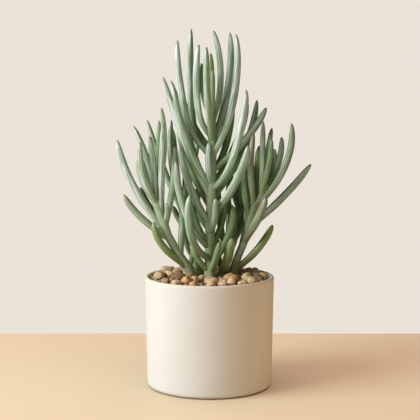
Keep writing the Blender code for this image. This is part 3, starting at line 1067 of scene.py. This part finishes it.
@dataclass(frozen=True)
class PebbleBed:
    """The topping: river pebbles on a bed of grit and soil, round the stems, in millimetres."""

    pot: Pot
    feet: Sequence[Vector]
    large: Sequence[Pebble] = LARGE_PEBBLES
    bed_top: float = 99.35
    bed_bottom: float = 92.35
    wall_gap: float = 0.35
    bed_rings: int = 44
    bed_steps: int = 180
    bed_drop: float = 0.6
    bed_waves: Sequence[Pair] = ((0.8, 0.35), (0.4, 1))
    seed: int = 7
    common: Sequence[Stone] = (Stone.TAN, *Stone)
    places: int = 92
    widths: Pair = (8.5, 11.5)
    small_height: float = 0.75
    margin: float = 5
    jitter: float = 1
    crowding: float = 1.2
    clearing: float = 5.5
    grit_stones: Sequence[Stone] = (Stone.GREY, Stone.BROWN, Stone.TAN, Stone.UMBER, Stone.DARK)
    grit_count: int = 1300
    grit_widths: Pair = (1.4, 4.6)
    grit_height: float = 0.8
    grit_margin: float = 2
    grit_clearing: float = 4
    grit_lift: float = -0.4
    sink: float = 0.12
    breadth: float = 0.8
    detail: int = 4
    grit_detail: int = 2
    lumps: Sequence[Pair] = ((0.16, 0.9), (0.03, 4))
    flats: int = 4
    flat_depths: Pair = (0.72, 0.9)
    flat_cut: float = 0.75
    shades: Pair = (0.82, 1.15)
    # Painted shade under the stones: how bright a stone is at its middle height, and how that rises to
    # full towards its top.
    middle_painted_shade: float = 0.9
    painted_shade_rise: float = 0.75

    def edge(self, margin: float) -> float:
        """How far out from the middle stones lie that keep this far from the wall."""
        return self.pot.inner_radius(self.pot.height) / MM - margin

    def off_stems(self, x: float, y: float, room: float) -> bool:
        """Whether a place keeps this far from every stem's foot."""
        return all(math.hypot(x - foot.x, y - foot.y) > room for foot in self.feet)

    def scattered(self) -> list[Pebble]:
        """Spread smaller pebbles between the large ones, along a spiral.

        Returns:
            Their rows.
        """
        chance = random.Random(self.seed)
        colours = random.Random(self.seed + 1)
        small = []
        for place in range(self.places):
            wide = chance.uniform(*self.widths)
            distance = self.edge(self.margin) * math.sqrt((place + 0.5) / self.places)
            spot = direction(place * GOLDEN_ANGLE) * distance
            x = spot.x + chance.uniform(-self.jitter, self.jitter)
            y = spot.y + chance.uniform(-self.jitter, self.jitter)
            turn = chance.uniform(0, 180)
            on_large = any(
                math.hypot(x - stone.x, y - stone.y) * self.crowding < (wide + stone.wide) / 2
                for stone in self.large
            )
            if not on_large and self.off_stems(x, y, self.clearing + wide / 2):
                stone = colours.choice(self.common)
                small.append(Pebble(x, y, wide, wide * self.small_height, turn, stone))
        return small

    def grit(self) -> list[Pebble]:
        """Fill the chinks with fine grit.

        Returns:
            The grains' rows.
        """
        chance = random.Random(self.seed + 2)
        found = []
        while len(found) < self.grit_count:
            wide = chance.uniform(*self.grit_widths)
            distance = self.edge(self.grit_margin) * math.sqrt(chance.random())
            angle = chance.uniform(0, math.tau)
            x, y = distance * math.cos(angle), distance * math.sin(angle)
            if self.off_stems(x, y, self.grit_clearing):
                stone = chance.choice(self.grit_stones)
                turn = chance.uniform(0, 180)
                found.append(Pebble(x, y, wide, wide * self.grit_height, turn, stone))
        return found

    def add_stones(self, sculpt: Sculpt, pebbles: Sequence[Pebble], detail: int, lift: float) -> None:
        """Add worn stones to a mesh, with painted shade darkening their undersides.

        Args:
            sculpt: The mesh.
            pebbles: Their rows.
            detail: How finely each ball is divided.
            lift: How much higher they lie than on the bed's top.
        """
        ball = bmesh.new()
        bmesh.ops.create_icosphere(ball, subdivisions=detail, radius=1)
        for number, pebble in enumerate(pebbles):
            chance = random.Random(31 * number + round(10 * pebble.wide))
            offset = Vector([chance.uniform(-50, 50) for _ in range(3)])
            flats = [any_direction(chance) for _ in range(self.flats)]
            depths = [chance.uniform(*self.flat_depths) for _ in flats]
            shade = chance.uniform(*self.shades)
            height = self.bed_top + lift + pebble.tall * (0.5 - self.sink)
            middle = Vector((pebble.x, pebble.y, height))
            half = Vector((pebble.wide, pebble.wide * self.breadth, pebble.tall)) / 2
            turn = Matrix.Rotation(math.radians(pebble.turn), 3, "Z")
            first = len(sculpt.points)
            for unit in [vert.co for vert in ball.verts]:
                place = unit * (1 + ripple(unit, offset, self.lumps))
                for flat, depth in zip(flats, depths):
                    place -= flat * max(place.dot(flat) - depth, 0) * self.flat_cut
                # Painted shade darkens each stone below its middle; shade is the stone's own random
                # tone.
                share = min(1, self.middle_painted_shade + self.painted_shade_rise * unit.z) * shade
                tint, patch = (tuple(share * part for part in colour) for colour in pebble.stone.value)
                still = tuple((unit * pebble.wide / 2 + offset) * MM)
                sculpt.point((middle + turn @ (place * half)) * MM, tint=tint, patch=patch, still=still)
            for face in ball.faces:
                sculpt.face([first + vert.index for vert in face.verts])
        ball.free()

    def make_bed(self, soil: Material) -> None:
        """Build the uneven bed of grit and soil that shows between the stones.

        Args:
            soil: The bed's material.
        """
        sculpt = Sculpt("topping_bed")
        surface = self.bed_top - self.bed_drop
        outer = self.pot.inner_radius(self.bed_top * MM) / MM - self.wall_gap
        rings = []
        for number in range(1, self.bed_rings + 1):
            spots = circle(outer * number / self.bed_rings, 0, self.bed_steps)
            for spot in spots:
                spot.z = surface + ripple(spot, Vector(), self.bed_waves)
            rings.append([sculpt.point(spot * MM) for spot in spots])
        spots = circle(outer, self.bed_bottom, self.bed_steps)
        rings.append([sculpt.point(spot * MM) for spot in spots])
        sculpt.stack(rings)
        sculpt.fan(rings[0], sculpt.point(up(surface * MM)))
        sculpt.fan(rings[-1], sculpt.point(up(self.bed_bottom * MM)))
        place_in_frame(sculpt.build([soil]))

    def make(self, stone: Material, soil: Material) -> None:
        """Build the bed, the pebbles in place of the CAD gravel, and their grit.

        Args:
            stone: The pebbles' and the grit's material.
            soil: The bed's material.
        """
        self.make_bed(soil)
        pebbles = Sculpt("river_pebbles")
        self.add_stones(pebbles, [*self.large, *self.scattered()], self.detail, 0.0)
        place_in_frame(pebbles.build([stone]), ["gravel"])
        grit = Sculpt("fine_grit")
        self.add_stones(grit, self.grit(), self.grit_detail, self.grit_lift)
        place_in_frame(grit.build([stone]))


# Studio


@dataclass(frozen=True)
class Lamp:
    """A soft rectangular light."""

    name: str
    place: Triple
    target: Triple
    size: Pair
    power: float
    colour: Colour
    spread: float = 180

    def make(self) -> Object:
        """Hang the light where it points at its target.

        Returns:
            The light.
        """
        data = bpy.data.lights.new(self.name, "AREA")
        data.shape = "RECTANGLE"
        data.size, data.size_y = self.size
        data.energy = self.power
        data.color = self.colour
        data.spread = math.radians(self.spread)
        lamp = bpy.data.objects.new(self.name, data)
        lamp.location = self.place
        aim = Vector(self.target) - Vector(self.place)
        lamp.rotation_euler = aim.to_track_quat("-Z", "Y").to_euler()
        bpy.context.scene.collection.objects.link(lamp)
        return lamp


@dataclass(frozen=True)
class Studio:
    """The pale table top, the cream room, the lights and the photograph's camera."""

    table_colour: Colour = (0.45, 0.435, 0.31)
    table_bounce: Colour = (0.3, 0.32, 0.26)
    room_colour: Colour = (0.83, 0.765, 0.69)
    room_light: Colour = (0.59, 0.56, 0.45)
    room_strength: float = 0.29
    table_back: float = 0.217
    table_reach: float = 1.6
    camera_place: Triple = (0, -1, 0.2665)
    camera_pitch: float = 0.10246
    focal_pixels: float = 1087.5
    centre_pixel: float = 209.36
    sensor: float = 36
    clip_start: float = 0.01
    window: Lamp = Lamp("window", (-1.17, -0.54, 0.92), (0, 0, 0.12), (0.9, 0.6), 28.2, (1, 0.99, 0.99))
    pot_fill: Lamp = Lamp(
        "pot_fill", (0.6, -0.4, 0.045), (0, 0, 0.045), (0.3, 0.08), 0.1, (1, 0.48, 0.12), 50
    )
    floor_light: Lamp = Lamp("floor_light", (0, 0, 1.6), (0, 0, 0), (2, 2), 44, (1, 0.62, 0.53))

    def make_table(self) -> Object:
        """Make the plain pale floor that the pot stands on.

        Returns:
            The floor.
        """
        sculpt = Sculpt("pale_floor")
        reach, back = self.table_reach, self.table_back
        corners = ((-reach, -reach), (reach, -reach), (reach, back), (-reach, back))
        sculpt.face([sculpt.point(Vector((x, y, 0))) for x, y in corners])
        mix = Recipe("pale_floor")
        place = mix.add("ShaderNodeTexCoord", output="Object")
        grain = mix.noise(place, 60, 3, (0.15, 1, 1))
        seen = mix.add("ShaderNodeLightPath", output="Is Camera Ray")
        colour = mix.blend(seen, self.table_bounce, self.table_colour)
        floor = sculpt.build([mix.finish(colour, 0.6, 0.5, grain, 0.05)])
        return floor

    def make_room(self) -> None:
        """The cream room: bright where the camera sees it, dimmer as light."""
        room = Recipe("cream_room", "worlds")
        seen = room.tree.nodes["Background"]
        room.feed(seen, {"Color": self.room_colour})
        light = {"Color": self.room_light, "Strength": self.room_strength}
        lit = room.add("ShaderNodeBackground", {}, light)
        ray = room.add("ShaderNodeLightPath", output="Is Camera Ray")
        either = room.add("ShaderNodeMixShader", {}, {0: ray, 1: lit, 2: Signal(room, seen.outputs[0])})
        room.feed(room.tree.nodes["World Output"], {"Surface": either})
        bpy.context.scene.world = room.owner

    def make_camera(self) -> None:
        """The camera that was fitted to the photograph."""
        data = bpy.data.cameras.new("photo_camera")
        data.sensor_width = self.sensor
        data.lens = self.focal_pixels / FRAME_PIXELS * self.sensor
        data.shift_x = (FRAME_PIXELS / 2 - self.centre_pixel) / FRAME_PIXELS
        data.clip_start = self.clip_start
        camera = bpy.data.objects.new("photo_camera", data)
        camera.location = self.camera_place
        camera.rotation_euler = (math.pi / 2 - self.camera_pitch, 0, 0)
        bpy.context.scene.collection.objects.link(camera)
        bpy.context.scene.camera = camera

    def make(self, pot: Object) -> None:
        """Set up the whole studio.

        Args:
            pot: The piece that has a fill light of its own.
        """
        floor = self.make_table()
        self.make_room()
        self.make_camera()
        self.window.make()
        for lamp, lit in ((self.pot_fill, pot), (self.floor_light, floor)):
            receivers = bpy.data.collections.new(f"{lamp.name}_only")
            receivers.objects.link(lit)
            lamp.make().light_linking.receiver_collection = receivers
        bpy.context.scene.view_settings.view_transform = "Standard"


def main() -> None:
    logging.basicConfig(level=logging.INFO, format="%(name)s: %(message)s")
    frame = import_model()
    pot = Pot()
    skin = LeafFinish().material()
    bark = StemFinish().material()
    soil = SoilFinish().material()
    for stem in STEMS:
        stem.make(skin, bark)
    pot_piece = pot.make(CeramicFinish().material())
    PebbleBed(pot, [stem.path[0] for stem in STEMS]).make(PebbleFinish().material(), soil)
    frame["nodes"]["soil"].data.materials.clear()
    frame["nodes"]["soil"].data.materials.append(soil)
    Studio().make(pot_piece)


if __name__ == "__main__":
    main()
